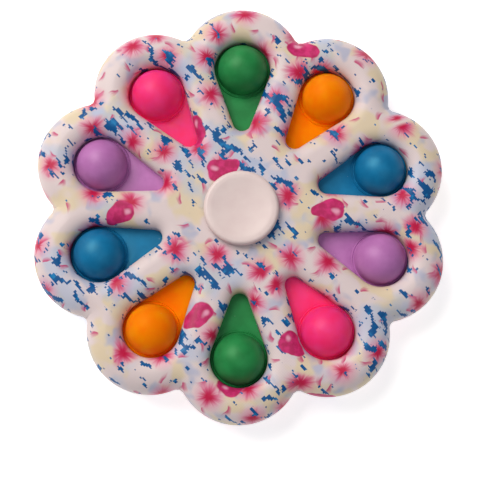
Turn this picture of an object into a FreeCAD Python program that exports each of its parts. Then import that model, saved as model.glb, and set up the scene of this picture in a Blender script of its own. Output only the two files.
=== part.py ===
"""Bubble pop fidget spinner: a ten-petal ABS housing round a ball bearing, with a silicone bubble in
each petal and a finger cap on each side. Millimetres, +Z up through the front face.

Heights are worked out from the parting plane, where the two housing shells meet. Each piece is then
raised so that the back finger cap's rim stands on Z = 0."""

import FreeCAD, Part
import math
import os

from FreeCAD import Vector

# Petals, seen along the spin axis
petal_count = 10
petal_ring_radius = 43.0        # spin axis to the centre of a petal's round end
petal_radius = 18.0             # round end of a petal
notch_radius = 2.0              # hollow between two petals
first_petal_angle = 90.0        # degrees from +X, and the rest follow clockwise

# Housing shells, each a moulding with one open side
shell_height = 6.3              # parting plane to the crown of the housing
outer_edge_radius = 5.6         # rolled outer edge
parting_bevel = 0.25            # outer corner of each shell where the two meet
least_side = 0.2                # straight side left between the bevel and the rolled edge
wall = 1.8                      # outer wall and face

# Teardrop windows
window_inset = 0.6              # the window's round end lies this far inside the petal's
window_length = 16.2            # between the centres of a window's round end and its tip
window_radius = 8.2
window_tip_radius = 2.6
window_edge_radius = 3.2        # rolled edge round a window
least_crown = 0.5               # flat left between the rolled edges of two windows
window_rib = 1.6                # thickness of the rib that runs round a window, inside

# Silicone bubbles
sheet = 1.2                     # thickness of the flange and of the flat beside the bubble
flange_overlap = 2.4            # how far the flange reaches past its window, under the rib
bubble_skin = 0.9
bubble_straight = 0.55          # upright part of the bubble, over its collar
collar_height = 0.45            # low lip round the foot of the bubble
collar_width = 0.8
collar_clearance = 0.1          # collar to window

# Locating posts between the petals
post_inset = 6.4                # from the notch's floor in to the centre of a post
post_radius = 2.3
pin_radius = 1.2
pin_length = 3.0
pin_clearance = 0.05            # round the pin in its socket
pin_end_clearance = 0.3

# Ball bearing, 8 x 22 x 7
bearing_bore_radius = 4.0
bearing_radius = 11.0
bearing_width = 7.0
ball_count = 7
ball_radius = 1.984
ball_clearance = 0.05           # ball to the bottom of its groove
inner_ring_thickness = 2.1      # bore to shoulder
outer_ring_thickness = 2.0      # outside to shoulder
ring_bevel = 0.3
shield_thickness = 0.25
shield_depth = 0.3              # depth of the rebate that holds a shield
shield_bite = 0.6               # how far the rebate goes into the outer ring
shield_clearance = 0.02
shield_gap = 0.2                # shield to inner ring, which turn apart
cage_side_gap = 0.4             # cage to the shoulder of each ring
cage_rim = 0.6                  # the cage's unbroken rim, under the balls
cage_prong_height = 0.9         # how far the cage stands up beside the balls
cage_clearance = 0.1

# Bearing seat in the shells
seat_clearance = 0.02
seat_wall = 2.0
seat_lip = 1.3                  # how far a shell's face laps the bearing's outer ring

# Finger caps
cap_lap = 1.0                   # how far the cap reaches past the hole in the housing
cap_thickness = 2.4
cap_gap = 0.6                   # cap to the face of the housing
cap_edge_radius = 1.1           # rolled edge at the top of the cap
cap_lower_edge_radius = 0.5
cap_rim_width = 0.9             # flat of the rim
cap_dish_depth = 0.9
cap_boss_inset = 0.2            # the boss on the inner ring stops this far inside its shoulder
stem_clearance = 0.02           # stem in the bearing's bore
stem_end_gap = 0.2              # each stem stops this far from the parting plane
stem_pin_radius = 1.6
stem_pin_length = 2.6           # past the end of the front cap's stem
stem_pin_clearance = 0.03

overrun = 1.0                   # how far a cutting tool runs past what it cuts
bubble_colours = ("green", "orange", "blue", "purple", "pink")

petal_step = 360.0 / petal_count
half_step = math.radians(petal_step / 2.0)
notch_ring_radius = petal_ring_radius * math.cos(half_step) + math.sqrt(
    (petal_radius + notch_radius) ** 2 - (petal_ring_radius * math.sin(half_step)) ** 2
)
window_ring_radius = petal_ring_radius - window_inset
window_tip_ring_radius = window_ring_radius - window_length
sheet_half = sheet / 2.0
collar_radius = window_radius - collar_clearance
collar_top = sheet_half + collar_height
bubble_radius = collar_radius - collar_width
bubble_springing = collar_top + bubble_straight
post_ring_radius = notch_ring_radius - notch_radius - post_inset
bearing_half = bearing_width / 2.0
inner_shoulder_radius = bearing_bore_radius + inner_ring_thickness
outer_shoulder_radius = bearing_radius - outer_ring_thickness
ball_ring_radius = (inner_shoulder_radius + outer_shoulder_radius) / 2.0
shield_seat_radius = outer_shoulder_radius + shield_bite
hub_hole_radius = bearing_radius - seat_lip
cap_radius = hub_hole_radius + cap_lap
cap_rim_height = shell_height + cap_gap + cap_thickness
cap_boss_radius = inner_shoulder_radius - cap_boss_inset

# A rolled edge can be no larger than the wall that it is cut in
window_web = 2.0 * window_ring_radius * math.sin(half_step) - 2.0 * window_radius
window_roll = min(window_edge_radius, (window_web - least_crown) / 2.0)
outer_roll = min(outer_edge_radius, shell_height - parting_bevel - least_side)

origin = Vector(0, 0, 0)
up = Vector(0, 0, 1)


def polar(radius, angle, z=0.0):
    """The point at this radius and angle, in degrees, about the spin axis."""
    a = math.radians(angle)
    return Vector(radius * math.cos(a), radius * math.sin(a), z)


def arc(start, middle, end):
    return Part.Arc(start, middle, end).toShape()


def turned(shape, angle):
    """A copy of the shape, turned about the spin axis."""
    copy = shape.copy()
    copy.rotate(origin, up, angle)
    return copy


def prism(wire, bottom, top):
    """The wire, which lies at Z = 0, extruded from bottom to top."""
    face = Part.Face(wire)
    face.translate(Vector(0, 0, bottom))
    return face.extrude(Vector(0, 0, top - bottom))


def turning(points_and_arcs):
    """A solid turned about the spin axis from (radius, z) points; a triple of points is an arc."""
    edges = []
    for piece in points_and_arcs:
        points = [Vector(r, 0, z) for r, z in piece]
        edges.append(Part.makeLine(*points) if len(points) == 2 else arc(*points))
    return Part.Face(Part.Wire(edges)).revolve(origin, up, 360)


def outline(corners):
    """The straight edges through these corners, closed, for turning."""
    return list(zip(corners, corners[1:] + corners[:1]))


def edges_at(shape, z):
    return [e for e in shape.Edges if abs(e.BoundBox.ZMin - z) < 1e-6 and abs(e.BoundBox.ZMax - z) < 1e-6]


def petal_wire(inset):
    """Outline of the whole flower: the petals' round ends and the hollows between them."""
    half = petal_step / 2.0
    share = (petal_radius - inset) / (petal_radius + notch_radius)
    edges = []
    for n in range(petal_count):
        angle = first_petal_angle + n * petal_step
        centre = polar(petal_ring_radius, angle)
        before = polar(notch_ring_radius, angle - half)
        after = polar(notch_ring_radius, angle + half)
        start = centre + (before - centre) * share
        end = centre + (after - centre) * share
        crown = polar(petal_ring_radius + petal_radius - inset, angle)
        next_centre = polar(petal_ring_radius, angle + petal_step)
        next_start = next_centre + (after - next_centre) * share
        hollow = polar(notch_ring_radius - notch_radius - inset, angle + half)
        edges += [arc(start, crown, end), arc(end, hollow, next_start)]
    return Part.Wire(edges)


def teardrop_wire(offset):
    """Outline of a window on the +X axis, grown by offset."""
    round_end, tip = window_radius + offset, window_tip_radius + offset
    slope = (round_end - tip) / (window_ring_radius - window_tip_ring_radius)
    side = math.sqrt(1 - slope ** 2)

    def touch(centre, radius, way):
        return Vector(centre - radius * slope, way * radius * side, 0)

    low, high = touch(window_ring_radius, round_end, -1), touch(window_ring_radius, round_end, 1)
    tip_low = touch(window_tip_ring_radius, tip, -1)
    tip_high = touch(window_tip_ring_radius, tip, 1)
    return Part.Wire(
        [
            arc(low, Vector(window_ring_radius + round_end, 0, 0), high),
            Part.makeLine(high, tip_high),
            arc(tip_high, Vector(window_tip_ring_radius - tip, 0, 0), tip_low),
            Part.makeLine(tip_low, low),
        ]
    )


def at_each_petal(shape):
    """Copies of a shape made on the +X axis, one for each petal, as one compound."""
    return Part.makeCompound([turned(shape, first_petal_angle - n * petal_step) for n in range(petal_count)])


def post_places():
    return [polar(post_ring_radius, first_petal_angle - (n + 0.5) * petal_step) for n in range(petal_count)]


def posts(radius, bottom, top):
    """A cylinder at each locating post."""
    height = top - bottom
    places = [p + Vector(0, 0, bottom) for p in post_places()]
    return Part.makeCompound([Part.makeCylinder(radius, height, p) for p in places])


def shell_cavity():
    """The hollow of a shell: all of its inside but the window ribs, bearing seat and posts."""
    ceiling = shell_height - wall
    hollow = prism(petal_wire(wall), -overrun, ceiling)
    # The flat that touches the arc a wall's thickness inside the rolled edge
    bevel = (outer_roll - wall) * (2 - math.sqrt(2))
    hollow = hollow.makeChamfer(bevel, edges_at(hollow, ceiling))
    ribs = at_each_petal(prism(teardrop_wire(window_rib), -2 * overrun, shell_height))
    seat = Part.makeCylinder(bearing_radius + seat_wall, 2 * shell_height, Vector(0, 0, -shell_height))
    return hollow.cut([ribs, seat, posts(post_radius, -2 * overrun, shell_height)])


def window_edges(body):
    """The edges round the windows, where they meet the crown's flat face."""
    crown = max(body.Faces, key=lambda face: face.CenterOfMass.z)
    return [edge for wire in crown.Wires if not wire.isSame(crown.OuterWire) for edge in wire.Edges]


def plain_shell():
    """What both shells share, as the front one lies: parting plane down, crown up."""
    body = prism(petal_wire(0.0), 0.0, shell_height)
    body = body.makeFillet(outer_roll, edges_at(body, shell_height))
    body = body.makeChamfer(parting_bevel, edges_at(body, 0.0))
    body = body.cut(at_each_petal(prism(teardrop_wire(0.0), -overrun, shell_height + overrun)))
    body = body.makeFillet(window_roll, window_edges(body))
    flanges = at_each_petal(prism(teardrop_wire(flange_overlap + collar_clearance), -overrun, sheet_half))
    seat = Part.makeCylinder(bearing_radius + seat_clearance, bearing_half + overrun, Vector(0, 0, -overrun))
    hub_hole = Part.makeCylinder(hub_hole_radius, shell_height + 2 * overrun, Vector(0, 0, -overrun))
    return body.cut([shell_cavity(), flanges, seat, hub_hole])


def front_shell(shell):
    """The front shell carries the locating pins."""
    return shell.fuse(posts(pin_radius, -pin_length, shell_height - wall)).removeSplitter()


def back_shell(shell):
    """The back shell is the front one turned over, with a socket for each pin."""
    depth = pin_length + pin_end_clearance
    mirrored = shell.mirror(origin, up)
    return mirrored.cut(posts(pin_radius + pin_clearance, -depth, overrun))


def bubble():
    """One silicone moulding on the +X axis: clamped flange, flat, collar and hollow bubble."""
    inside = bubble_radius - bubble_skin
    slant = math.sqrt(0.5)

    def quarter(radius):
        """A quarter circle about the bubble's centre, from its springing up to its crown."""
        side = (radius, bubble_springing)
        middle = (radius * slant, bubble_springing + radius * slant)
        return side, middle, (0, bubble_springing + radius)

    foot = (bubble_radius, collar_top)
    raised = [quarter(bubble_radius), ((0, bubble_springing + bubble_radius), (0, -sheet_half))]
    raised += [((0, -sheet_half), (collar_radius, -sheet_half))]
    raised += [((collar_radius, -sheet_half), (collar_radius, collar_top))]
    raised += [((collar_radius, collar_top), foot), (foot, (bubble_radius, bubble_springing))]
    recess_top = collar_top - bubble_skin
    recess = collar_radius - bubble_skin
    below = -sheet_half - overrun
    hollow = [quarter(inside), ((0, bubble_springing + inside), (0, below)), ((0, below), (recess, below))]
    hollow += [((recess, below), (recess, recess_top)), ((recess, recess_top), (inside, recess_top))]
    hollow += [((inside, recess_top), (inside, bubble_springing))]
    place = Vector(window_ring_radius, 0, 0)
    flange = prism(teardrop_wire(flange_overlap), -sheet_half, sheet_half)
    solid = flange.fuse(turning(raised).translated(place))
    return solid.cut(turning(hollow).translated(place)).removeSplitter()


def bearing_ring(near, far, ring_bore):
    """A bearing ring between two radii; ring_bore says that the balls run on its outside."""
    rail = far if ring_bore else near
    plain = near if ring_bore else far
    into = 1 if ring_bore else -1
    section = outline(
        [
            (plain + into * ring_bevel, -bearing_half),
            (rail, -bearing_half),
            (rail, bearing_half),
            (plain + into * ring_bevel, bearing_half),
            (plain, bearing_half - ring_bevel),
            (plain, -bearing_half + ring_bevel),
        ]
    )
    groove = Part.makeTorus(ball_ring_radius, ball_radius + ball_clearance)
    return turning(section).cut(groove)


def outer_ring():
    """The ring that the shells hold, with a rebate at each end for a shield."""
    ring = bearing_ring(outer_shoulder_radius, bearing_radius, False)
    rebates = []
    for bottom in (bearing_half - shield_depth, -bearing_half - overrun):
        height = shield_depth + overrun
        rebates.append(Part.makeCylinder(shield_seat_radius, height, Vector(0, 0, bottom)))
    return ring.cut(rebates)


def shield(side):
    """A thin steel disc in the outer ring's rebate, on the front or the back."""
    inner_edge = inner_shoulder_radius + shield_gap
    floor = bearing_half - shield_depth
    disc = Part.makeCylinder(shield_seat_radius - shield_clearance, shield_thickness, Vector(0, 0, floor))
    disc = disc.cut(Part.makeCylinder(inner_edge, bearing_width))
    return disc if side > 0 else disc.mirror(origin, up)


def ball_places():
    return [polar(ball_ring_radius, n * 360.0 / ball_count) for n in range(ball_count)]


def cage():
    """A crown cage: an unbroken rim under the balls, and a pocket round each."""
    bottom = -ball_radius - cage_clearance - cage_rim
    height = cage_prong_height - bottom
    outside, inside = outer_shoulder_radius - cage_side_gap, inner_shoulder_radius + cage_side_gap
    ring = Part.makeCylinder(outside, height, Vector(0, 0, bottom))
    ring = ring.cut(Part.makeCylinder(inside, height, Vector(0, 0, bottom)))
    return ring.cut([Part.makeSphere(ball_radius + cage_clearance, p) for p in ball_places()])


def cap_blank():
    """The front finger cap without its pin: dished top, boss on the inner ring, stem in the bore."""
    underside = shell_height + cap_gap
    stem = bearing_bore_radius - stem_clearance
    slant = math.sqrt(0.5)
    rim_outer, rim_inner = cap_radius - cap_edge_radius, cap_radius - cap_edge_radius - cap_rim_width
    top_centre = (rim_outer, cap_rim_height - cap_edge_radius)
    low_centre = (cap_radius - cap_lower_edge_radius, underside + cap_lower_edge_radius)
    dish_floor = cap_rim_height - cap_dish_depth
    dish_radius = (rim_inner ** 2 + cap_dish_depth ** 2) / (2 * cap_dish_depth)
    dish_half = rim_inner / 2
    dish_middle = dish_floor + dish_radius - math.sqrt(dish_radius ** 2 - dish_half ** 2)

    def rolled(centre, radius, way):
        return (centre[0] + radius * slant, centre[1] + way * radius * slant)

    low_side = (cap_radius, low_centre[1])
    high_side = (cap_radius, top_centre[1])
    return turning(
        [
            ((0, stem_end_gap), (stem, stem_end_gap)),
            ((stem, stem_end_gap), (stem, bearing_half)),
            ((stem, bearing_half), (cap_boss_radius, bearing_half)),
            ((cap_boss_radius, bearing_half), (cap_boss_radius, underside)),
            ((cap_boss_radius, underside), (low_centre[0], underside)),
            ((low_centre[0], underside), rolled(low_centre, cap_lower_edge_radius, -1), low_side),
            (low_side, high_side),
            (high_side, rolled(top_centre, cap_edge_radius, 1), (rim_outer, cap_rim_height)),
            ((rim_outer, cap_rim_height), (rim_inner, cap_rim_height)),
            ((rim_inner, cap_rim_height), (dish_half, dish_middle), (0, dish_floor)),
            ((0, dish_floor), (0, stem_end_gap)),
        ]
    )


def front_cap():
    """The front cap's stem ends in a pin, which the back cap's stem takes."""
    bottom = stem_end_gap - stem_pin_length
    return cap_blank().fuse(Part.makeCylinder(stem_pin_radius, stem_pin_length, Vector(0, 0, bottom)))


def back_cap():
    socket_radius = stem_pin_radius + stem_pin_clearance
    socket = Part.makeCylinder(socket_radius, stem_pin_length, Vector(0, 0, -stem_pin_length))
    return cap_blank().mirror(origin, up).cut(socket)


def pieces():
    """Every piece by name, as it lies about the parting plane."""
    made = {}
    shell = plain_shell()
    made["front_shell"] = front_shell(shell)
    made["back_shell"] = back_shell(shell)
    moulding = bubble()
    for n in range(petal_count):
        colour = bubble_colours[n % len(bubble_colours)]
        made[f"bubble_{n + 1}_{colour}"] = turned(moulding, first_petal_angle - n * petal_step)
    made["bearing_outer_ring"] = outer_ring()
    made["bearing_inner_ring"] = bearing_ring(bearing_bore_radius, inner_shoulder_radius, True)
    for n, place in enumerate(ball_places()):
        made[f"bearing_ball_{n + 1}"] = Part.makeSphere(ball_radius, place)
    made["bearing_cage"] = cage()
    made["bearing_shield_front"] = shield(1)
    made["bearing_shield_back"] = shield(-1)
    made["front_finger_cap"] = front_cap()
    made["back_finger_cap"] = back_cap()
    return made


os.makedirs("parts", exist_ok=True)
for name, shape in pieces().items():
    shape.translate(Vector(0, 0, cap_rim_height))
    shape.exportStep(f"parts/{name}.step")
    print(name, shape.isValid(), len(shape.Solids), round(shape.Volume, 1))
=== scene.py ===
import bmesh
import bpy
import math
import numpy as np
from mathutils import Matrix, Quaternion, Vector


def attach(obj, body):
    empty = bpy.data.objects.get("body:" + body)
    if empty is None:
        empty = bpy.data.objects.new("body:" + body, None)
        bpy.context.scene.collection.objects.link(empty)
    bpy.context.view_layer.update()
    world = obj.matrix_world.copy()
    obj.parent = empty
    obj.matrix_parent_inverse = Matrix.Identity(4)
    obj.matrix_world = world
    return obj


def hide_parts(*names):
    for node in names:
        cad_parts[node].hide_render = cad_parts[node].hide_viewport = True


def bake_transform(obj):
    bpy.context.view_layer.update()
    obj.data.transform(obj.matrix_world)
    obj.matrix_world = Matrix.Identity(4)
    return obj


# Bubble pop fidget spinner. Sizes are millimetres until a mesh is made, heights are above the plane
# where the two housing shells meet, and the table is under the back finger cap.

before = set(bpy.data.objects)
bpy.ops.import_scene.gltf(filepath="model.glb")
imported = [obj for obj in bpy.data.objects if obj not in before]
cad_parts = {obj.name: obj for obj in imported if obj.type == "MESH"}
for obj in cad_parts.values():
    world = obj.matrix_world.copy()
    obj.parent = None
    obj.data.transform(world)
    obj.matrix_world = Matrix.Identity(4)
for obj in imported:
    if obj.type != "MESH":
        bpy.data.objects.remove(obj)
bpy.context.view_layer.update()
scene = bpy.context.scene
mm = 0.001
partingPlane = 9.3  # height of the shells' joint above the table


def hexColour(code):
    # sRGB hex to the linear values that shaders use
    linear = []
    for start in (0, 2, 4):
        value = int(code[start:start + 2], 16) / 255
        linear.append(value / 12.92 if value <= 0.04045 else ((value + 0.055) / 1.055) ** 2.4)
    return (*linear, 1.0)


def addNode(tree, kind, settings, *feeds):
    # settings name the node's options and inputs, feeds go to its first inputs
    # an input takes a value, a socket, or a node, which then gives its first output
    node = tree.nodes.new("ShaderNode" + kind)
    for name, value in (*settings.items(), *enumerate(feeds)):
        if isinstance(value, bpy.types.Node):
            value = value.outputs[0]
        if isinstance(value, bpy.types.NodeSocket):
            tree.links.new(value, node.inputs[name])
        elif isinstance(name, str) and hasattr(node, name):
            setattr(node, name, value)
        else:
            node.inputs[name].default_value = value
    return node


# settings that many nodes share
plus = {"operation": "ADD"}
minus = {"operation": "SUBTRACT"}
times = {"operation": "MULTIPLY"}
timesPlus = {"operation": "MULTIPLY_ADD"}  # the first value times the second, plus the third
over = {"operation": "DIVIDE"}
below = {"operation": "LESS_THAN"}
above = {"operation": "GREATER_THAN"}
scaled = {"operation": "SCALE"}
snapped = {"operation": "SNAP"}
length = {"operation": "LENGTH"}
smooth = {"interpolation_type": "SMOOTHSTEP"}  # 0 at From Min, 1 at From Max
turned = {"rotation_type": "Z_AXIS"}
flatNoise = {"noise_dimensions": "2D"}
mixed = {"data_type": "RGBA"}  # input 6 is the colour underneath, 7 the one on top, output 2 the result


def newMaterial(name):
    material = bpy.data.materials.new(name)
    material.use_nodes = True
    material.node_tree.nodes.clear()
    return material, material.node_tree


def millimetres(tree):
    # the piece's own coordinates, in millimetres
    spot = addNode(tree, "TexCoord", {})
    return addNode(tree, "VectorMath", {**scaled, "Scale": 1 / mm}, spot.outputs["Object"])


filmPrint = {
    "roughness": 0.42,
    "ior": 1.53,
    "specular": 0.25,
    "pinkWhite": "DECFCF",
    "cream": "DECDAE",
    "lavender": "B6B8CC",
    "sky": "AFC0DB",        # pale blue round the flecks
    "skyDepth": 0.65,
    "blotch": 11.0,         # width of a pastel blotch
    "wander": 7.0,          # width and reach of the drift in the blotches' and dabs' edges
    "wanderReach": 3.0,
    "otherPlace": (210.0, 75.0, 0.0),  # where the second set of blotches is taken from
    "mesh": 0.8,            # pitch of the film's fine dot mesh, drawn twice as coarse so that it shows
    "meshTint": "C0A8B0",
    "meshDepth": 0.16,
    "randomness": 0.85,     # how far spots stray from a regular grid
    "seedStep": (37.3, 91.7),  # each kind of spot has its own seed, and so its own place in the grid
    "cellEdge": 1.6,        # width of the fade where one spot's cell meets the next
    "dab": "C23F74",
    "dabSpacing": 6.4,
    "dabLength": 3.5,
    "dabShare": 0.72,
    "dabSeed": 3,
    "dabBend": 0.35,
    "dabHairs": 4.0,
    "crimson": "BE0F3F",
    "rose": "D2457F",
    "haze": "E08CA8",
    "hazeDepth": 0.7,
    "starSpacing": 11.8,
    "starReach": 5.3,       # longest streak from a star's middle
    "starShare": 0.84,      # share of the places that hold a star
    "starSeed": 1,
    "starLobes": 1.35,      # how many long and short sides a star has, as a noise scale round its middle
    "starStrokes": 4.8,     # and how many streaks
    "starBend": 0.025,      # how much the streaks bend
    "blue": "00528F",
    "paleBlue": "147CB8",
    "fleckStep": 0.43,      # side of the small steps in a fleck's edge
    "fleckSlant": -47.0,    # degrees, the way that the flecks run
    "fleckPlace": (500.0, 500.0, 0.0),
    "fleckSize": 2.2,
    "fleckStretch": 0.5,
    "clusterSize": 13.0,
    "clusterPull": 0.5,     # how strongly flecks gather in clusters
    "fleckLevel": 0.9,      # noise above this is a fleck
    "looseLevel": 1.055,    # and above this a loose square
    "loosePull": 0.09,      # how strongly loose squares gather near the flecks
    "looseShift": (0.31, 0.22, 0.0),
    "magenta": "CF2F74",
    "magentaDeep": "B4225C",
    "magentaPale": "F0B5CE",
    "petalSpacing": 29.0,
    "petalShare": 0.6,
    "petalSize": (4.8, 3.3),
    "petalSeed": 5,
    "petalNarrow": 0.35,    # how much narrower one end is
    "gleamPlace": (-0.45, 0.25, 0.0),  # the pale spot, as shares of the petal's halves
    "peel": 0.35,           # width of the mould's orange peel
    "peelDepth": 0.01,
}


def spotsAt(tree, plane, spacing, seed):
    # the nearest of many scattered spots: the place seen from its middle, three random numbers, and what is
    # 1 inside its cell and falls to 0 at the cell's edge, so that nothing is cut off there
    look = filmPrint
    grid = {"voronoi_dimensions": "2D", "Randomness": look["randomness"], "Scale": 1 / spacing}
    moved = addNode(tree, "VectorMath", plus, plane, (*(seed * step for step in look["seedStep"]), 0))
    cells = addNode(tree, "TexVoronoi", {**grid, "Vector": moved})
    edge = addNode(tree, "TexVoronoi", {**grid, "feature": "DISTANCE_TO_EDGE", "Vector": moved})
    local = addNode(tree, "VectorMath", minus, moved, cells.outputs["Position"])
    chance = addNode(tree, "SeparateColor", {}, cells.outputs["Color"])
    fade = {**smooth, "From Min": 0.0, "From Max": look["cellEdge"] / spacing}
    return {
        "place": addNode(tree, "VectorMath", times, local, (1, 1, 0)),
        "pick": chance.outputs[0],
        "turn": chance.outputs[1],
        "size": chance.outputs[2],
        "kept": addNode(tree, "MapRange", fade, edge.outputs["Distance"]),
    }


def airbrushedGround(tree, plane, wander, soft, cluster):
    # pastel blotches with soft edges, pale blue clouds round the flecks, and the film's dot mesh
    look = filmPrint
    blotches = {**flatNoise, "Detail": 2.0, "Roughness": 0.55}
    broad = addNode(tree, "TexNoise", {**blotches, "Scale": 1 / look["blotch"], "Vector": soft})
    aside = addNode(tree, "VectorMath", plus, soft, look["otherPlace"])
    other = addNode(tree, "TexNoise", {**blotches, "Scale": 1.25 / look["blotch"], "Vector": aside})
    cream = addNode(tree, "MapRange", {**smooth, "From Min": 0.47, "From Max": 0.61}, broad)
    lavender = addNode(tree, "MapRange", {**smooth, "From Min": 0.55, "From Max": 0.72}, other)
    clouds = addNode(tree, "Math", timesPlus, wander, 0.35, cluster)
    sky = addNode(tree, "MapRange", {**smooth, "From Min": 0.68, "From Max": 0.86}, clouds)
    sky = addNode(tree, "Math", times, sky, look["skyDepth"])
    dots = addNode(tree, "VectorMath", {**scaled, "Scale": 2 * math.pi / look["mesh"]}, plane)
    dots = addNode(tree, "VectorMath", {"operation": "SINE"}, dots)
    dots = addNode(tree, "SeparateXYZ", {}, dots)
    dots = addNode(tree, "Math", times, dots.outputs[0], dots.outputs[1])
    dots = addNode(tree, "Math", timesPlus, dots, look["meshDepth"] / 2, look["meshDepth"] / 2)
    ground = hexColour(look["pinkWhite"])
    for factor, tint in ((cream, "cream"), (lavender, "lavender"), (sky, "sky"), (dots, "meshTint")):
        ground = addNode(tree, "Mix", {**mixed, 6: ground, 7: hexColour(look[tint])}, factor).outputs[2]
    return ground


def brushDabs(tree, ground, soft):
    # short bent wedges, dense along one side and feathered on the other
    look = filmPrint
    spot = spotsAt(tree, soft, look["dabSpacing"], look["dabSeed"])
    angle = addNode(tree, "Math", times, spot["turn"], 2 * math.pi)
    local = addNode(tree, "VectorRotate", {**turned, "Angle": angle}, spot["place"])
    local = addNode(tree, "VectorMath", {**scaled, "Scale": 1 / look["dabLength"]}, local)
    local = addNode(tree, "SeparateXYZ", {}, local)
    along = addNode(tree, "Math", plus, local.outputs[0], 0.5)
    bend = addNode(tree, "Math", times, along, along)
    bend = addNode(tree, "Math", timesPlus, bend, look["dabBend"], local.outputs[1])
    width = addNode(tree, "Math", timesPlus, along, 0.3, 0.1)
    across = addNode(tree, "Math", over, bend, width)
    hair = addNode(tree, "Math", times, across, look["dabHairs"])
    layer = addNode(tree, "Math", times, spot["turn"], 80.0)
    bristles = addNode(tree, "CombineXYZ", {}, hair, layer)
    bristles = addNode(tree, "TexNoise", {**flatNoise, "Scale": 1.0, "Detail": 2.0, "Vector": bristles})
    worn = addNode(tree, "Math", timesPlus, bristles, 0.5, along)
    worn = addNode(tree, "MapRange", {**smooth, "From Min": 1.2, "From Max": 0.7}, worn)
    root = addNode(tree, "MapRange", {**smooth, "From Min": 0.0, "From Max": 0.14}, along)
    dense = addNode(tree, "MapRange", {**smooth, "From Min": 1.2, "From Max": -0.7}, across)
    dense = addNode(tree, "Math", timesPlus, dense, 0.7, 0.25)
    chosen = addNode(tree, "Math", below, spot["pick"], look["dabShare"])
    ink = addNode(tree, "Math", {"operation": "ABSOLUTE"}, across)
    ink = addNode(tree, "MapRange", {**smooth, "From Min": 1.0, "From Max": 0.72}, ink)
    for part in (root, worn, dense, chosen):
        ink = addNode(tree, "Math", times, ink, part)
    return addNode(tree, "Mix", {**mixed, 6: ground, 7: hexColour(look["dab"])}, ink).outputs[2]


def starbursts(tree, ground, plane):
    # brushed streaks of ink round a dark middle, in a pale haze
    look = filmPrint
    reach = look["starReach"]
    spot = spotsAt(tree, plane, look["starSpacing"], look["starSeed"])
    away = addNode(tree, "VectorMath", length, spot["place"]).outputs["Value"]
    heading = addNode(tree, "VectorMath", {"operation": "NORMALIZE"}, spot["place"])
    layer = addNode(tree, "Math", times, spot["turn"], 60.0)
    layer = addNode(tree, "CombineXYZ", {"Z": layer})
    heading = addNode(tree, "VectorMath", plus, heading, layer)
    lobes = addNode(tree, "TexNoise", {"Scale": look["starLobes"], "Detail": 1.0, "Vector": heading})
    lobes = addNode(tree, "MapRange", {**smooth, "From Min": 0.34, "From Max": 0.66}, lobes)
    lobes = addNode(tree, "Math", timesPlus, lobes, 0.5, 0.36)
    drift = addNode(tree, "VectorMath", {**scaled, "Scale": look["starBend"]}, spot["place"])
    drift = addNode(tree, "VectorMath", plus, heading, drift)
    stroke = addNode(tree, "TexNoise", {"Scale": look["starStrokes"], "Detail": 2.5, "Roughness": 0.6,
                                        "Vector": drift})
    stroke = addNode(tree, "MapRange", {**smooth, "From Min": 0.26, "From Max": 0.74}, stroke)
    streak = addNode(tree, "Math", timesPlus, stroke, 0.5, lobes)
    size = addNode(tree, "Math", timesPlus, spot["size"], 0.35 * reach, 0.65 * reach)
    streak = addNode(tree, "Math", times, streak, size)
    fade = addNode(tree, "Math", over, away, streak)
    fade = addNode(tree, "Math", {**minus, "use_clamp": True}, 1.0, fade)
    chosen = addNode(tree, "Math", below, spot["pick"], look["starShare"])
    chosen = addNode(tree, "Math", times, chosen, spot["kept"])
    haze = addNode(tree, "MapRange", {**smooth, "From Min": reach * 1.1, "From Max": reach * 0.3}, away)
    haze = addNode(tree, "Math", times, haze, chosen)
    haze = addNode(tree, "Math", times, haze, look["hazeDepth"])
    ground = addNode(tree, "Mix", {**mixed, 6: ground, 7: hexColour(look["haze"])}, haze).outputs[2]
    ink = addNode(tree, "MapRange", {**smooth, "From Min": 0.0, "From Max": 0.8}, fade)
    ink = addNode(tree, "Math", times, ink, chosen)
    heart = addNode(tree, "MapRange", {**smooth, "From Min": reach * 0.6, "From Max": reach * 0.08}, away)
    heart = addNode(tree, "Math", times, heart, 0.8)
    deep = addNode(tree, "Math", {**timesPlus, "use_clamp": True}, stroke, 0.25, heart)
    tint = addNode(tree, "Mix", {**mixed, 6: hexColour(look["rose"]), 7: hexColour(look["crimson"])}, deep)
    return addNode(tree, "Mix", {**mixed, 6: ground, 7: tint.outputs[2]}, ink).outputs[2]


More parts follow.
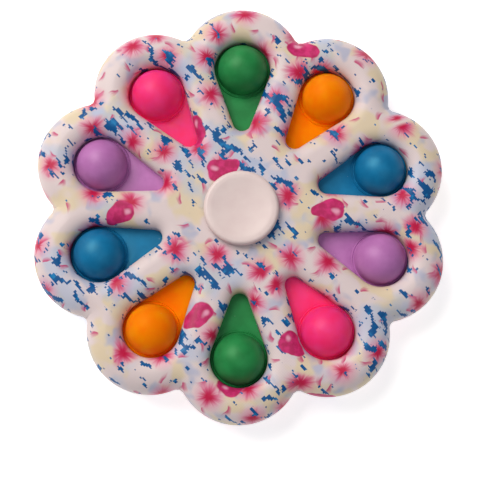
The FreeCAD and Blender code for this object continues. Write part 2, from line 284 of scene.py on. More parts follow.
def blueFlecks(tree, ground, slanted, cluster):
    # patches of ink whose edges go in small square steps, and loose squares round them
    look = filmPrint
    step, least = look["fleckStep"], look["fleckLevel"]
    stepped = addNode(tree, "VectorMath", snapped, slanted, (step * 1.5, step, 1.0))
    patch = addNode(tree, "VectorMath", times, stepped, (look["fleckStretch"], 1, 1))
    patch = addNode(tree, "TexNoise", {**flatNoise, "Scale": 1 / look["fleckSize"], "Detail": 2.0,
                                       "Roughness": 0.5, "Vector": patch})
    level = addNode(tree, "Math", timesPlus, cluster, look["clusterPull"], patch)
    ink = addNode(tree, "Math", above, level, least)
    loose = addNode(tree, "VectorMath", plus, slanted, look["looseShift"])
    loose = addNode(tree, "VectorMath", snapped, loose, (step * 1.3, step * 1.2, 1.0))
    loose = addNode(tree, "TexWhiteNoise", {**flatNoise, "Vector": loose})
    near = addNode(tree, "MapRange", {**smooth, "From Min": least - 0.2, "From Max": least}, level)
    loose = addNode(tree, "Math", timesPlus, near, look["loosePull"], loose)
    loose = addNode(tree, "Math", above, loose, look["looseLevel"])
    ink = addNode(tree, "Math", {"operation": "MAXIMUM"}, ink, loose)
    tone = addNode(tree, "TexNoise", {**flatNoise, "Scale": 0.5, "Detail": 2.0, "Vector": stepped})
    tone = addNode(tree, "MapRange", {**smooth, "From Min": 0.5, "From Max": 0.75}, tone)
    tint = addNode(tree, "Mix", {**mixed, 6: hexColour(look["blue"]), 7: hexColour(look["paleBlue"])}, tone)
    return addNode(tree, "Mix", {**mixed, 6: ground, 7: tint.outputs[2]}, ink).outputs[2]


def singlePetals(tree, ground, plane, soft):
    # large petals, with a pale spot near one end
    look = filmPrint
    longHalf, wideHalf = look["petalSize"]
    spot = spotsAt(tree, soft, look["petalSpacing"], look["petalSeed"])
    angle = addNode(tree, "Math", times, spot["turn"], 2 * math.pi)
    shape = addNode(tree, "VectorRotate", {**turned, "Angle": angle}, spot["place"])
    shape = addNode(tree, "VectorMath", times, shape, (1 / longHalf, 1 / wideHalf, 0))
    shape = addNode(tree, "SeparateXYZ", {}, shape)
    narrow = addNode(tree, "Math", timesPlus, shape.outputs[0], look["petalNarrow"], 1.0)
    narrow = addNode(tree, "Math", times, shape.outputs[1], narrow)
    shape = addNode(tree, "CombineXYZ", {}, shape.outputs[0], narrow)
    away = addNode(tree, "VectorMath", length, shape).outputs["Value"]
    ink = addNode(tree, "MapRange", {**smooth, "From Min": 1.0, "From Max": 0.9}, away)
    chosen = addNode(tree, "Math", below, spot["pick"], look["petalShare"])
    for part in (chosen, spot["kept"]):
        ink = addNode(tree, "Math", times, ink, part)
    mottle = addNode(tree, "TexNoise", {**flatNoise, "Scale": 0.5, "Detail": 3.0, "Vector": plane})
    mottle = addNode(tree, "MapRange", {**smooth, "From Min": 0.35, "From Max": 0.7}, mottle)
    tint = addNode(tree, "Mix", {**mixed, 6: hexColour(look["magentaDeep"]), 7: hexColour(look["magenta"])}, mottle)
    gleam = addNode(tree, "VectorMath", {"operation": "DISTANCE"}, shape, look["gleamPlace"]).outputs["Value"]
    gleam = addNode(tree, "MapRange", {**smooth, "From Min": 0.3, "From Max": 0.05}, gleam)
    gleam = addNode(tree, "Math", times, gleam, 0.7)
    tint = addNode(tree, "Mix", {**mixed, 6: tint.outputs[2], 7: hexColour(look["magentaPale"])}, gleam)
    return addNode(tree, "Mix", {**mixed, 6: ground, 7: tint.outputs[2]}, ink).outputs[2]


def filmPrintedAbs(name):
    # Moulded ABS under a dipped film: a satin skin, airbrushed pastels and crisp inks that stretch on the rolls
    look = filmPrint
    material, tree = newMaterial(name)
    plane = addNode(tree, "Attribute", {"attribute_name": "printPlane"}).outputs["Vector"]
    wander = addNode(tree, "TexNoise", {**flatNoise, "Scale": 1 / look["wander"], "Detail": 2.0, "Vector": plane})
    soft = addNode(tree, "VectorMath", minus, wander.outputs["Color"], (0.5, 0.5, 0.5))
    soft = addNode(tree, "VectorMath", {**scaled, "Scale": look["wanderReach"]}, soft)
    soft = addNode(tree, "VectorMath", plus, plane, soft)
    slanted = addNode(tree, "VectorRotate", {**turned, "Angle": math.radians(-look["fleckSlant"])}, plane)
    slanted = addNode(tree, "VectorMath", plus, slanted, look["fleckPlace"])
    cluster = addNode(tree, "VectorMath", times, slanted, (0.6, 1, 1))
    cluster = addNode(tree, "TexNoise", {**flatNoise, "Scale": 1 / look["clusterSize"], "Detail": 1.0,
                                         "Vector": cluster})
    ground = airbrushedGround(tree, plane, wander, soft, cluster)
    ground = brushDabs(tree, ground, soft)
    ground = starbursts(tree, ground, plane)
    ground = blueFlecks(tree, ground, slanted, cluster)
    ground = singlePetals(tree, ground, plane, soft)
    peel = addNode(tree, "TexNoise", {"Scale": 1 / look["peel"], "Detail": 2.0, "Vector": millimetres(tree)})
    bump = addNode(tree, "Bump", {"Strength": 0.4, "Distance": look["peelDepth"] * mm, "Height": peel})
    shader = addNode(tree, "BsdfPrincipled", {
        "Base Color": ground, "Roughness": look["roughness"], "IOR": look["ior"],
        "Specular IOR Level": look["specular"], "Normal": bump})
    addNode(tree, "OutputMaterial", {"Surface": shader})
    return material


warmWhite = {
    "tints": ("E0CCCA", "E5D3D0"),
    "cloud": 6.0,
    "grain": 0.2,
    "grainDepth": 0.012,
    "roughness": 0.42,
    "ior": 1.53,
}


def warmWhiteAbs():
    # Moulded ABS in warm white: satin, with a fine spark-eroded grain
    look = warmWhite
    dark, light = look["tints"]
    material, tree = newMaterial("warmWhiteMouldedAbs")
    spot = millimetres(tree)
    cloud = addNode(tree, "TexNoise", {"Scale": 1 / look["cloud"], "Detail": 3.0, "Vector": spot})
    cloud = addNode(tree, "MapRange", {**smooth, "From Min": 0.3, "From Max": 0.7}, cloud)
    tint = addNode(tree, "Mix", {**mixed, 6: hexColour(dark), 7: hexColour(light)}, cloud)
    grain = addNode(tree, "TexNoise", {"Scale": 1 / look["grain"], "Detail": 2.0, "Vector": spot})
    bump = addNode(tree, "Bump", {"Strength": 0.5, "Distance": look["grainDepth"] * mm, "Height": grain})
    shader = addNode(tree, "BsdfPrincipled", {
        "Base Color": tint.outputs[2], "Roughness": look["roughness"], "IOR": look["ior"], "Normal": bump})
    addNode(tree, "OutputMaterial", {"Surface": shader})
    return material


silicone = {
    "roughness": 0.46,
    "ior": 1.41,
    "creep": 3.5,           # how far light creeps through a clear rubber
    "cloud": 4.5,
    "grain": 0.25,
    "grainDepth": 0.012,
    "dust": "E8E4E0",
    "dustDepth": 0.35,
    "dustSpacing": 1.3,
    "dustShare": 0.06,      # share of the places that hold a speck
    "dustSize": 0.13,       # largest speck, as a share of the spacing
}

siliconeColours = {  # deep and bright tint, the sheen's tint and level, and how clear the pigment is
    "green": ("1C773C", "228646", "C8FFD0", 0.6, 0.0),
    "orange": ("FF7E00", "FF8E00", "FFB858", 0.38, 0.8),
    "blue": ("006395", "0471A5", "9CF6FF", 1.0, 0.0),
    "purple": ("B06BAD", "BB76B8", "FFFFFF", 0.55, 0.0),
    "pink": ("FF2A76", "FF3888", "FFFFFF", 0.38, 0.8),
}


def mouldedSilicone(colour, deep, bright, sheen, gloss, clear):
    # Moulded silicone rubber: matte, a little cloudy, with specks of the dust that it always draws
    look = silicone
    material, tree = newMaterial(f"{colour}MouldedSilicone")
    spot = millimetres(tree)
    cloud = addNode(tree, "TexNoise", {"Scale": 1 / look["cloud"], "Detail": 3.0, "Vector": spot})
    cloud = addNode(tree, "MapRange", {**smooth, "From Min": 0.3, "From Max": 0.7}, cloud)
    tint = addNode(tree, "Mix", {**mixed, 6: hexColour(deep), 7: hexColour(bright)}, cloud)
    cells = addNode(tree, "TexVoronoi", {"Scale": 1 / look["dustSpacing"], "Vector": spot})
    chance = addNode(tree, "SeparateColor", {}, cells.outputs["Color"])
    dust = addNode(tree, "Math", below, chance.outputs[0], look["dustShare"])
    dust = addNode(tree, "Math", times, dust, chance.outputs[1])
    dust = addNode(tree, "Math", times, dust, look["dustSize"])
    dust = addNode(tree, "Math", minus, dust, cells.outputs["Distance"])
    dust = addNode(tree, "MapRange", {**smooth, "From Min": 0.0, "From Max": 0.05}, dust)
    dust = addNode(tree, "Math", times, dust, look["dustDepth"])
    tint = addNode(tree, "Mix", {**mixed, 6: tint.outputs[2], 7: hexColour(look["dust"])}, dust)
    skin = addNode(tree, "TexNoise", {"Scale": 1 / look["grain"], "Detail": 2.0, "Vector": spot})
    bump = addNode(tree, "Bump", {"Strength": 0.5, "Distance": look["grainDepth"] * mm, "Height": skin})
    shader = addNode(tree, "BsdfPrincipled", {
        "Base Color": tint.outputs[2], "Roughness": look["roughness"], "IOR": look["ior"],
        "Specular IOR Level": gloss, "Specular Tint": hexColour(sheen), "Subsurface Weight": clear,
        "Subsurface Radius": hexColour(bright)[:3], "Subsurface Scale": look["creep"] * mm, "Normal": bump})
    addNode(tree, "OutputMaterial", {"Surface": shader})
    return material


steels = {  # colour, roughness, and the spacing of the turning marks
    "groundBearingSteel": ("BFC1C4", 0.22, 0.12),
    "polishedBearingSteel": ("CDCFD2", 0.08, 0.5),
    "pressedCageSteel": ("A8A49C", 0.4, 0.3),
}
steelMarks = {"tint": "E4E5E6", "depth": 0.004}


def bearingSteel(name):
    # Bearing steel: bright, with fine turning marks round the axis
    colour, roughness, spacing = steels[name]
    material, tree = newMaterial(name)
    away = addNode(tree, "VectorMath", times, millimetres(tree), (1, 1, 0))
    away = addNode(tree, "VectorMath", length, away).outputs["Value"]
    marks = addNode(tree, "TexNoise", {"noise_dimensions": "1D", "Scale": 1 / spacing, "Detail": 3.0, "W": away})
    tint = addNode(tree, "Mix", {**mixed, 6: hexColour(colour), 7: hexColour(steelMarks["tint"])}, marks)
    bump = addNode(tree, "Bump", {"Strength": 0.5, "Distance": steelMarks["depth"] * mm, "Height": marks})
    shader = addNode(tree, "BsdfPrincipled", {
        "Base Color": tint.outputs[2], "Metallic": 1.0, "Roughness": roughness, "Normal": bump})
    addNode(tree, "OutputMaterial", {"Surface": shader})
    return material


weldGap = 0.0005  # points closer than this become one


def newPiece(name, points, faces, material):
    # points in millimetres about the spin axis and the parting plane
    mesh = bpy.data.meshes.new(name)
    raised = (np.asarray(points, float) + (0.0, 0.0, partingPlane)) * mm
    mesh.from_pydata(raised.tolist(), [], faces)
    mesh.validate()
    mesh.update()
    mesh.materials.append(material)
    mesh.shade_smooth()
    piece = bpy.data.objects.new(name, mesh)
    scene.collection.objects.link(piece)
    return piece


def weldSeams(piece):
    # joins points that lie in one place, such as those on the lines between the petals
    shape = bmesh.new()
    shape.from_mesh(piece.data)
    bmesh.ops.remove_doubles(shape, verts=shape.verts, dist=weldGap * mm)
    bmesh.ops.recalc_face_normals(shape, faces=shape.faces)
    shape.to_mesh(piece.data)
    shape.free()


def gridFaces(ids, closed=False):
    # quads over a grid of point numbers, closed where its last column goes on to its first
    columns = list(ids) + ([ids[0]] if closed else [])
    faces = []
    for left, right in zip(columns, columns[1:]):
        for k in range(len(left) - 1):
            faces.append((left[k], right[k], right[k + 1], left[k + 1]))
    return faces


housing = {
    "petals": 10,
    "petalRing": 43.0,
    "petalRadius": 18.0,
    "notchRadius": 2.0,
    "windowRing": 42.4,
    "windowLength": 16.2,
    "windowRadius": 8.2,
    "tipRadius": 2.6,
    "height": 6.3,
    "outerRoll": 5.6,
    "outerSpread": 6.4,     # the rolls run out softly, a little past their own height
    "windowRoll": 3.2,
    "windowSpread": 4.3,
    "bevel": 0.25,
    "wall": 1.8,
    "rib": 1.6,
    "sheetHalf": 0.6,
    "hubHole": 9.7,
    "seatRadius": 11.02,
    "seatWall": 2.0,
    "bearingHalf": 3.5,
    "columns": (20, 14, 12, 16, 3),  # along a window's edge: round end to the notch, to the flank, flank, tip
    "rows": (8, 5, 12),     # across the window's roll, the flat and the outer roll
    "wallRows": 5,          # down a window's wall
    "outerWallRow": 0.6,    # height of the one row in the outer wall, as a share of that wall
    "hubRows": (0.4, 0.2),  # rows in the hub hole's wall, in from its two ends
    "outerRows": 1.15,      # the outer rows reach this much further than the roll itself
    "outerRoom": 0.94,      # and take this much of a narrow web at most
    "evenFrom": 95.0,       # degrees from a window's outer end, past which rows are even
    "shellPrints": {"front_shell": (118.0, 46.0), "back_shell": (310.0, 170.0)},  # where each film is cut from
}


def teardropHalf(size):
    # half a window's edge, from its round end to its tip: each place's arc by its centre, radius and angle,
    # and the angle at which the arc faces the notch
    steps = size["columns"]
    slope = (size["windowRadius"] - size["tipRadius"]) / size["windowLength"]
    flank = math.pi / 2 + math.asin(slope)
    tipRing = size["windowRing"] - size["windowLength"]
    half = math.pi / size["petals"]
    notch = notchRing(size) - size["notchRadius"]
    corner = math.atan2(notch * math.sin(half), notch * math.cos(half) - size["windowRing"])
    hub = size["hubHole"]
    hubCorner = math.atan2(hub * math.sin(half), hub * math.cos(half) - tipRing)
    places = []
    for low, high, count in ((0.0, corner, steps[0]), (corner, flank, steps[1])):
        for angle in np.linspace(low, high, count, endpoint=False):
            places.append((size["windowRing"], size["windowRadius"], angle))
    for share in np.linspace(0, 1, steps[2], endpoint=False):
        places.append((size["windowRing"] - share * size["windowLength"],
                       size["windowRadius"] - share * (size["windowRadius"] - size["tipRadius"]), flank))
    for low, high, count in ((flank, hubCorner, steps[3]), (hubCorner, math.pi, steps[4])):
        for angle in np.linspace(low, high, count, endpoint=False):
            places.append((tipRing, size["tipRadius"], angle))
    places.append((tipRing, size["tipRadius"], math.pi))
    return places, corner


def notchRing(size):
    # how far the middle of a notch's circle lies from the spin axis
    half = math.pi / size["petals"]
    reach = size["petalRadius"] + size["notchRadius"]
    return size["petalRing"] * math.cos(half) + math.sqrt(reach ** 2 - (size["petalRing"] * math.sin(half)) ** 2)


def circleHit(point, heading, centre, radius, far):
    # how far along the heading the circle is met, at its far or near side
    toPoint = np.subtract(point, centre)
    along = float(np.dot(toPoint, heading))
    outside = float(np.dot(toPoint, toPoint)) - radius ** 2
    root = math.sqrt(max(along * along - outside, 0.0))
    return -along + root if far else -along - root


def outlineDepth(size, x, y):
    # distance in from the flower's outline, and the way out, for points of the petal on the +X axis
    half = math.pi / size["petals"]
    ring = notchRing(size)
    notch = np.array((ring * math.cos(half), ring * math.sin(half)))
    limit = math.atan2(notch[1], notch[0] - size["petalRing"])
    side = np.where(y < 0, -1.0, 1.0)
    px, py = x - size["petalRing"], np.abs(y)
    reach = np.hypot(px, py)
    onPetal = np.abs(np.arctan2(py, px)) <= limit + 1e-9
    nx, ny = notch[0] - x, notch[1] - py
    gap = np.hypot(nx, ny)
    depth = np.where(onPetal, size["petalRadius"] - reach, gap - size["notchRadius"])
    outX = np.where(onPetal, px / np.maximum(reach, 1e-9), nx / np.maximum(gap, 1e-9))
    outY = np.where(onPetal, py / np.maximum(reach, 1e-9), ny / np.maximum(gap, 1e-9)) * side
    return depth, outX, outY


def rollDrop(depth, height, spread):
    # how far a rolled edge has fallen at this distance in from it, and the extra length of film on the roll
    share = np.clip(1 - depth / spread, 0.0, 1.0)
    samples = np.linspace(0, 1, 400)
    fall = height * (1 - np.sqrt(1 - samples ** 2))
    arc = np.concatenate([[0.0], np.cumsum(np.hypot(np.diff(fall), np.diff(samples) * spread))])
    return height * (1 - np.sqrt(1 - share ** 2)), np.interp(share, samples, arc - samples * spread)


def shellRays(size):
    # from each place on half a window's edge: start, heading, reach to the outline, the line between two
    # petals or the hub, which of these it meets, and its angle
    places, corner = teardropHalf(size)
    half = math.pi / size["petals"]
    ring = notchRing(size)
    notchCentre = (ring * math.cos(half), ring * math.sin(half))
    limit = math.atan2(notchCentre[1], notchCentre[0] - size["petalRing"])
    across = np.array((-math.sin(half), math.cos(half)))
    first, last = size["columns"][0], len(places) - 1 - size["columns"][-1]
    rays = []
    for index, (ringPlace, radius, angle) in enumerate(places):
        heading = np.array((math.cos(angle), math.sin(angle)))
        start = np.array((ringPlace, 0.0)) + radius * heading
        if index <= first:
            kind = {"outline"} if index < first else {"outline", "line"}
            reach = circleHit(start, heading, (size["petalRing"], 0.0), size["petalRadius"], True)
            end = start + reach * heading
            if math.atan2(end[1], end[0] - size["petalRing"]) > limit:
                reach = circleHit(start, heading, notchCentre, size["notchRadius"], False)
        elif index < last:
            kind = {"line"}
            reach = -float(np.dot(start, across)) / float(np.dot(heading, across))
        else:
            kind = {"hub"} if index > last else {"hub", "line"}
            reach = circleHit(start, heading, (0.0, 0.0), size["hubHole"], False)
        rays.append((start, heading, reach, kind, angle))
    return rays, corner


def shellRows(size, rays, corner):
    # distances along each ray, close together on the rolls
    windowRows, flatRows, rollRows = size["rows"]
    roll = size["windowSpread"]
    evenAngle = math.radians(size["evenFrom"])
    near = roll * (1 - np.cos(np.linspace(0, math.pi / 2, windowRows + 1)))
    rows = []
    for _, _, reach, _, angle in rays:
        rest = reach - roll
        even = roll + rest * np.linspace(0, 1, flatRows + rollRows + 1)[1:]
        outer = min(size["outerRoll"] * size["outerRows"], rest * size["outerRoom"])
        middle = roll + (rest - outer) * np.linspace(0, 1, flatRows + 1)[1:]
        edge = reach - outer * (1 - np.cos(np.linspace(math.pi / 2, 0, rollRows + 1)))[1:]
        weight = np.clip((evenAngle - angle) / (evenAngle - corner), 0, 1)
        far = weight * np.concatenate([middle, edge]) + (1 - weight) * even
        rows.append(np.concatenate([near, far]))
    return np.array(rows)


def housingShell(name, way, material, printShift):
    # one half of the housing: way is 1 for the front and -1 for the back
    size = housing
    rays, corner = shellRays(size)
    rows = shellRows(size, rays, corner)
    start = np.array([ray[0] for ray in rays])
    heading = np.array([ray[1] for ray in rays])
    x = start[:, None, 0] + heading[:, None, 0] * rows
    y = start[:, None, 1] + heading[:, None, 1] * rows

    depth, outX, outY = outlineDepth(size, x, y)
    depth = np.maximum(depth, 0.0)
    outerDrop, outerFilm = rollDrop(depth, size["outerRoll"], size["outerSpread"])
    windowDrop, windowFilm = rollDrop(rows, size["windowRoll"], size["windowSpread"])
    top = size["height"] - outerDrop - windowDrop
    away = np.hypot(x, y)
    filmX = x + outX * outerFilm - heading[:, None, 0] * windowFilm
    filmY = y + outY * outerFilm - heading[:, None, 1] * windowFilm

    # the moulding's inside: ribs round the windows, outer wall, bearing seat
    inside = np.minimum(size["height"] - size["wall"], top - size["wall"])
    inside = np.where(depth < size["wall"], 0.0, inside)
    inside = np.where(away < size["seatRadius"] + size["seatWall"], 0.0, inside)
    inside = np.where(away < size["seatRadius"], size["bearingHalf"], inside)
    inside = np.where(rows < size["rib"], size["sheetHalf"], inside)
    lowX, lowY = x.copy(), y.copy()
    for k, (_, _, _, kind, _) in enumerate(rays):
        if "outline" in kind:
            lowX[k, -1] -= outX[k, -1] * size["bevel"]
            lowY[k, -1] -= outY[k, -1] * size["bevel"]

    def column(xs, ys, zs, flip):
        # one ray's points, mirrored for the other half of the petal
        return [(vx, -vy if flip else vy, vz) for vx, vy, vz in zip(xs, ys, zs)]

    def wallColumn(k, j, levels, flip):
        # points straight above one another in an upright wall
        return column([x[k, j]] * len(levels), [y[k, j]] * len(levels), levels, flip)

    points, films, faces = [], [], []
    loop = [(k, False) for k in range(len(rays))] + [(k, True) for k in range(len(rays) - 2, 0, -1)]
    for petal in range(size["petals"]):
        turn = petal * 2 * math.pi / size["petals"] + math.pi / 2
        cosTurn, sinTurn = math.cos(turn), math.sin(turn)
        topIds, lowIds, windowIds, endIds = [], [], [], []

        def add(values, film):
            # points of this petal with their places on the film
            ids = []
            for (vx, vy, vz), (fx, fy) in zip(values, film):
                ids.append(len(points))
                points.append((vx * cosTurn - vy * sinTurn, vx * sinTurn + vy * cosTurn, way * vz))
                films.append((fx * cosTurn - fy * sinTurn + printShift[0],
                              fx * sinTurn + fy * cosTurn + printShift[1], 0.0))
            return ids

        for k, flip in loop:
            mirror = -1.0 if flip else 1.0
            film = [(filmX[k, j], mirror * filmY[k, j]) for j in range(rows.shape[1])]
            topIds.append(add(column(x[k], y[k], top[k], flip), film))
            lowIds.append(add(column(lowX[k], lowY[k], inside[k], flip), film))
            wallTop = top[k, 0]
            levels = np.linspace(wallTop, size["sheetHalf"], size["wallRows"])[1:-1]
            fall = [(film[0][0] - heading[k, 0] * (wallTop - z), film[0][1] - mirror * heading[k, 1] * (wallTop - z))
                    for z in levels]
            wall = add(wallColumn(k, 0, levels, flip), fall)
            windowIds.append([topIds[-1][0]] + wall + [lowIds[-1][0]])
            kind = rays[k][3]
            skirt = []
            if "outline" in kind:
                base, share = top[k, -1], size["outerWallRow"]
                levels = [base * share + size["bevel"] * (1 - share), size["bevel"]]
                fall = [(film[-1][0] + outX[k, -1] * (base - z), film[-1][1] + mirror * outY[k, -1] * (base - z))
                        for z in levels]
                skirt = add(wallColumn(k, -1, levels, flip), fall)
            elif "hub" in kind:
                levels = [size["height"] - size["hubRows"][0], size["bearingHalf"] + size["hubRows"][1]]
                skirt = add(wallColumn(k, -1, levels, flip), [film[-1], film[-1]])
            endIds.append([topIds[-1][-1]] + skirt + [lowIds[-1][-1]])

        faces += gridFaces(topIds, closed=True)
        faces += [face[::-1] for face in gridFaces(lowIds, closed=True)]
        faces += [face[::-1] for face in gridFaces(windowIds, closed=True)]
        count = len(loop)
        for place in range(count):
            nextPlace = (place + 1) % count
            both = rays[loop[place][0]][3] & rays[loop[nextPlace][0]][3]
            if "outline" in both or "hub" in both:
                faces += gridFaces([endIds[place], endIds[nextPlace]])
    if way < 0:
        faces = [face[::-1] for face in faces]
    piece = newPiece(name, points, faces, material)
    layer = piece.data.attributes.new("printPlane", "FLOAT_VECTOR", "POINT")
    layer.data.foreach_set("vector", np.array(films, np.float32).ravel())
    weldSeams(piece)
    return piece


filmAbs = filmPrintedAbs("filmPrintedMouldedAbs")
for node, way in (("front_shell", 1), ("back_shell", -1)):
    shellName = f"printed_{node}"
    shell = housingShell(shellName, way, filmAbs, housing["shellPrints"][node])
    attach(shell, "spinner")
    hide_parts(node)
    print("housing", shellName, len(shell.data.polygons), "faces")


bubble = {
    "sheetHalf": 0.6,
    "overlap": 2.4,
    "radius": 7.3,
    "skin": 0.9,
    "springing": 1.6,
    "collarRadius": 8.1,
    "lipHeight": 1.04,      # soft lip round the dome, with a trough inside it and a crease outside
    "troughHeight": 0.74,
    "creaseHeight": 0.5,
    # the lip's section, in steps out from the dome's foot or the collar and up from its own height
    "troughCurve": ((0.02, 0.36), (0.09, 0.1), (0.22, 0.0), (0.38, 0.05)),
    "lipCurve": ((-0.29, -0.1), (-0.2, -0.01), (-0.12, -0.04), (-0.05, -0.15), (-0.01, -0.3)),
    "footCurve": ((0.01, 0.1),),
    "creaseCurve": ((0.04, 0.08), (0.1, 0.0), (0.17, 0.05)),
    "flatCurve": ((0.24, -0.03), (0.32, 0.0)),
    "sheetShares": (0.25, 0.5, 0.75, 0.97),  # rows over the flat sheet, as shares of the way to its rim
    "rimShare": 0.8,        # height of the sheet's upright rim, as a share of its thickness
    "rimBevel": 0.1,
    "domeRows": 22,
    "hollowRows": 16,
    "flexFrom": 1.5,        # on the real bubble, what lies lower than this stays still when it is popped
    "snapReach": 1.0,       # reach past the crown over which a popped skin keeps its thickness
    "steps": 120,
}


def bubbleProfile(size):
    # (radius, height) from the crown down to the flat outside the collar, then the hollow underneath
    dome, collar, springing = size["radius"], size["collarRadius"], size["springing"]
    lip, flat = size["lipHeight"], size["sheetHalf"]
    outer = [(dome * math.cos(angle), springing + dome * math.sin(angle))
             for angle in np.linspace(math.pi / 2, 0, size["domeRows"])]
    outer += [(dome + out, size["troughHeight"] + up) for out, up in size["troughCurve"]]
    for curve, base in (("lipCurve", lip), ("footCurve", flat), ("creaseCurve", size["creaseHeight"]),
                        ("flatCurve", flat)):
        outer += [(collar + out, base + up) for out, up in size[curve]]
    hollow = dome - size["skin"]
    recess = collar - size["skin"]
    inner = [(recess, -flat), (recess, lip - size["skin"]), (hollow, lip - size["skin"])]
    inner += [(hollow * math.cos(angle), springing + hollow * math.sin(angle))
              for angle in np.linspace(0, math.pi / 2, size["hollowRows"])]
    return outer, inner


def flangeReach(angle):
    # how far the flange goes from the bubble's middle in this direction
    size = housing
    ring, length = size["windowRing"], size["windowLength"]
    big, small = size["windowRadius"] + bubble["overlap"], size["tipRadius"] + bubble["overlap"]
    slope = (big - small) / length
    flank = math.pi / 2 + math.asin(slope)
    folded = abs(math.atan2(math.sin(angle), math.cos(angle)))
    if folded <= flank:
        return big
    heading = (math.cos(folded), math.sin(folded))
    side = big / math.cos(folded - flank)  # meets the straight flank
    along = side * math.sin(folded - flank)
    if along <= length * math.cos(math.asin(slope)):
        return side
    return circleHit((0.0, 0.0), np.array(heading), (-length, 0.0), small, True)


def siliconeBubble(name, node, turnDegrees, material):
    # a flange, a lip and a hollow dome round the middle of a window, turned to its petal
    outer, inner = bubbleProfile(bubble)
    flat, ring = bubble["sheetHalf"], housing["windowRing"]
    foot, recess = outer[-1][0], inner[0][0]
    rim = flat * bubble["rimShare"]
    turn = math.radians(turnDegrees)
    crown, roof = 0, 1  # numbers of the first two points
    points = [(ring, 0.0, outer[0][1]), (ring, 0.0, inner[-1][1])]
    columns = []
    for angle in np.linspace(0, 2 * math.pi, bubble["steps"], endpoint=False):
        reach = flangeReach(angle)
        sheet = [(foot + (reach - foot) * share, flat) for share in bubble["sheetShares"]]
        sheet += [(reach, rim), (reach, -rim), (reach - bubble["rimBevel"], -flat), ((recess + reach) / 2, -flat)]
        profile = outer[1:] + sheet + inner[:-1]
        columns.append(list(range(len(points), len(points) + len(profile))))
        points += [(ring + radius * math.cos(angle), radius * math.sin(angle), height)
                   for radius, height in profile]
    faces = gridFaces(columns, closed=True)
    for left, right in zip(columns, columns[1:] + columns[:1]):
        faces.append((crown, right[0], left[0])[::-1])
        faces.append((roof, left[-1], right[-1])[::-1])
    cosTurn, sinTurn = math.cos(turn), math.sin(turn)
    points = [(px * cosTurn - py * sinTurn, px * sinTurn + py * cosTurn, pz) for px, py, pz in points]
    piece = newPiece(name, points, faces, material)
    weldSeams(piece)
    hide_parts(node)
    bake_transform(piece)
    return piece


silicones = {colour: mouldedSilicone(colour, *tints) for colour, tints in siliconeColours.items()}
for number in range(housing["petals"]):
    colour = list(siliconeColours)[number % len(siliconeColours)]
    node = f"bubble_{number + 1}_{colour}"
    turnDegrees = 90 - number * 360 / housing["petals"]  # clockwise from the top
    piece = siliconeBubble(f"silicone_{node}", node, turnDegrees, silicones[colour])
print("bubbles", housing["petals"], "of", bubble["steps"], "columns each")


fingerCap = {
    "radius": 10.7,
    "rimHeight": 9.3,
    "edge": 1.1,            # rolled edge at the top
    "rim": 0.9,
    "dish": 0.9,
    "underside": 6.9,
    "lowerEdge": 0.5,
    "boss": 5.9,
    "bossEnd": 3.5,
    "stem": 3.98,
    "stemEnd": 0.2,
    "pin": 1.6,
    "pinEnd": -2.4,
    "socketRoom": 0.03,     # the back cap's socket is this much wider than the pin
    "socketEnd": 2.6,
    "soften": 0.55,         # how far the dish's edge is eased into the rim
    "ease": 0.035,          # depth of that soft corner
    "rows": (30, 12, 6),    # over the dish, the rolled edge and the lower edge
    "steps": 128,
}


def capProfile(size, front):
    # (radius, height) from the middle of the dish, over the rim and down to the stem's end
    edge, lowerEdge = size["edge"], size["lowerEdge"]
    dishRows, edgeRows, lowerRows = size["rows"]
    edgeRing = size["radius"] - edge
    rimRing = edgeRing - size["rim"]
    bowl = (rimRing ** 2 + size["dish"] ** 2) / (2 * size["dish"])
    profile = []
    for ring in np.linspace(0, rimRing + size["soften"], dishRows)[1:]:
        fall = size["dish"] - (bowl - math.sqrt(bowl ** 2 - ring ** 2))  # depth of the plain dish here
        fall = (fall + math.hypot(fall, size["ease"])) / 2
        profile.append((ring, size["rimHeight"] - fall))
    for angle in np.linspace(math.pi / 2, 0, edgeRows):
        profile.append((edgeRing + edge * math.cos(angle), size["rimHeight"] - edge + edge * math.sin(angle)))
    for angle in np.linspace(0, -math.pi / 2, lowerRows):
        profile.append((size["radius"] - lowerEdge + lowerEdge * math.cos(angle),
                        size["underside"] + lowerEdge + lowerEdge * math.sin(angle)))
    profile += [(size["boss"], size["underside"]), (size["boss"], size["bossEnd"]),
                (size["stem"], size["bossEnd"]), (size["stem"], size["stemEnd"])]
    if front:
        core, coreEnd = size["pin"], size["pinEnd"]
    else:
        core, coreEnd = size["pin"] + size["socketRoom"], size["socketEnd"]
    return profile + [(core, size["stemEnd"]), (core, coreEnd)]


def turnedCap(name, way, material):
    # a cap turned round the spin axis: way is 1 for the front and -1 for the back
    profile = capProfile(fingerCap, way > 0)
    middle, bottom = 0, 1  # numbers of the first two points
    points = [(0.0, 0.0, fingerCap["rimHeight"] - fingerCap["dish"]), (0.0, 0.0, profile[-1][1])]
    columns = []
    for angle in np.linspace(0, 2 * math.pi, fingerCap["steps"], endpoint=False):
        columns.append(list(range(len(points), len(points) + len(profile))))
        points += [(ring * math.cos(angle), ring * math.sin(angle), height) for ring, height in profile]
    faces = gridFaces(columns, closed=True)
    for left, right in zip(columns, columns[1:] + columns[:1]):
        faces.append((middle, left[0], right[0]))
        faces.append((bottom, right[-1], left[-1]))
    points = [(px, py, way * pz) for px, py, pz in points]
    piece = newPiece(name, points, faces, material)
    weldSeams(piece)
    return piece


capAbs = warmWhiteAbs()
for node, way in (("front_finger_cap", 1), ("back_finger_cap", -1)):
    cap = turnedCap(f"turned_{node}", way, capAbs)
    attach(cap, "hub")
    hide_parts(node)
print("finger caps turned,", fingerCap["steps"], "columns each")


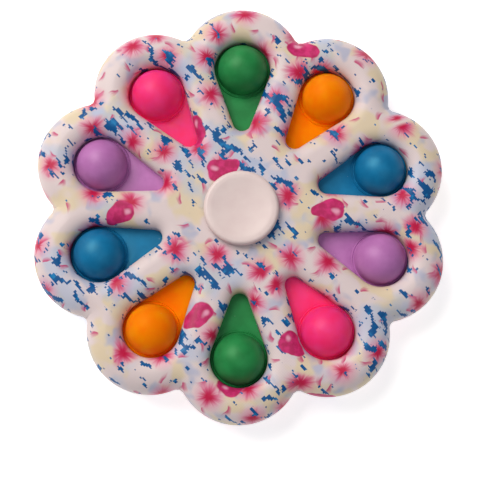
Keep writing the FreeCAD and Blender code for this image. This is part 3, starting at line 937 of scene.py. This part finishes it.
ringSteel, ballSteel, cageSteel = (bearingSteel(name) for name in steels)
for nodeName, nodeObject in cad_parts.items():
    if nodeObject.type != "MESH":
        continue
    material = ballSteel if "_ball_" in nodeName else cageSteel if nodeName == "bearing_cage" else ringSteel
    nodeObject.data.materials.clear()
    nodeObject.data.materials.append(material)
print("bearing dressed")


stage = {
    "table": ("F2F2F2", "F9F9F8"),
    "tableCloud": 40.0,
    "tableSize": 5.0,       # metres
    "tableRoughness": 0.9,
    "tableIor": 1.45,
    "glow": 0.53,           # the table gives off some light, so that shadows stay faint
    "studio": ("F8F9FB", 0.19),  # light from all round
    "backdrop": ("F4F5F6", 0.85),  # what the camera sees behind the table
}
tableMaterial, tableTree = newMaterial("matteWhiteTable")
tableCloud = addNode(tableTree, "TexNoise", {"Scale": 1 / stage["tableCloud"], "Detail": 2.0,
                                             "Vector": millimetres(tableTree)})
tableDark, tableLight = stage["table"]
tableTint = addNode(tableTree, "Mix", {**mixed, 6: hexColour(tableDark), 7: hexColour(tableLight)}, tableCloud)
tableShader = addNode(tableTree, "BsdfPrincipled", {
    "Base Color": tableTint.outputs[2], "Roughness": stage["tableRoughness"], "IOR": stage["tableIor"],
    "Emission Color": (1.0, 1.0, 1.0, 1.0), "Emission Strength": stage["glow"]})
addNode(tableTree, "OutputMaterial", {"Surface": tableShader})
side = stage["tableSize"] / 2
tableMesh = bpy.data.meshes.new("table")
tableMesh.from_pydata([(-side, -side, 0), (side, -side, 0), (side, side, 0), (-side, side, 0)], [], [(0, 1, 2, 3)])
tableMesh.materials.append(tableMaterial)
table = bpy.data.objects.new("table", tableMesh)
scene.collection.objects.link(table)

lights = {  # places and sizes in metres
    "key": {"place": (-0.56, 0.52, 0.86), "size": 0.8, "watts": 12.7, "colour": "FFF9F2"},
    "fill": {"place": (0.25, -0.30, 0.95), "size": 0.9, "watts": 2.0, "colour": "F6F8FF"},
}
for lightName, light in lights.items():
    lamp = bpy.data.lights.new(lightName, "AREA")
    lamp.size = light["size"]
    lamp.energy = light["watts"]
    lamp.color = hexColour(light["colour"])[:3]
    holder = bpy.data.objects.new(lightName, lamp)
    holder.location = light["place"]
    holder.rotation_euler = (-Vector(light["place"])).to_track_quat("-Z", "Y").to_euler()
    scene.collection.objects.link(holder)

world = bpy.data.worlds.new("softStudio")
world.use_nodes = True
worldTree = world.node_tree
worldTree.nodes.clear()
studio, backdrop = (addNode(worldTree, "Background", {"Color": hexColour(tint), "Strength": strength})
                    for tint, strength in (stage["studio"], stage["backdrop"]))
seen = addNode(worldTree, "LightPath", {})
surround = addNode(worldTree, "MixShader", {}, seen.outputs["Is Camera Ray"], studio, backdrop)
addNode(worldTree, "OutputWorld", {"Surface": surround})
scene.world = world
scene.view_settings.view_transform = "Standard"

shot = {
    "place": (-9.4, -60.6, 335.8),
    "target": (2.9, -10.8, 9.3),
    "roll": 0.011,          # radians
    "lens": 82.3,
    "sensor": 36.0,
    "nearest": 10.0,
}
camera = bpy.data.cameras.new("camera")
camera.sensor_fit = "HORIZONTAL"
camera.sensor_width = shot["sensor"]
camera.lens = shot["lens"]
camera.clip_start = shot["nearest"] * mm
cameraHolder = bpy.data.objects.new("camera", camera)
place, target = Vector(shot["place"]) * mm, Vector(shot["target"]) * mm
toCamera = (place - target).normalized()
rightward = Vector((0, 1, 0)).cross(toCamera).normalized()
upward = toCamera.cross(rightward)
facing = Matrix((rightward, upward, toCamera)).transposed().to_quaternion() @ Quaternion((0, 0, 1), shot["roll"])
cameraHolder.rotation_mode = "QUATERNION"
cameraHolder.location = place
cameraHolder.rotation_quaternion = facing
scene.collection.objects.link(cameraHolder)
scene.camera = cameraHolder
print("table, lights and camera set")
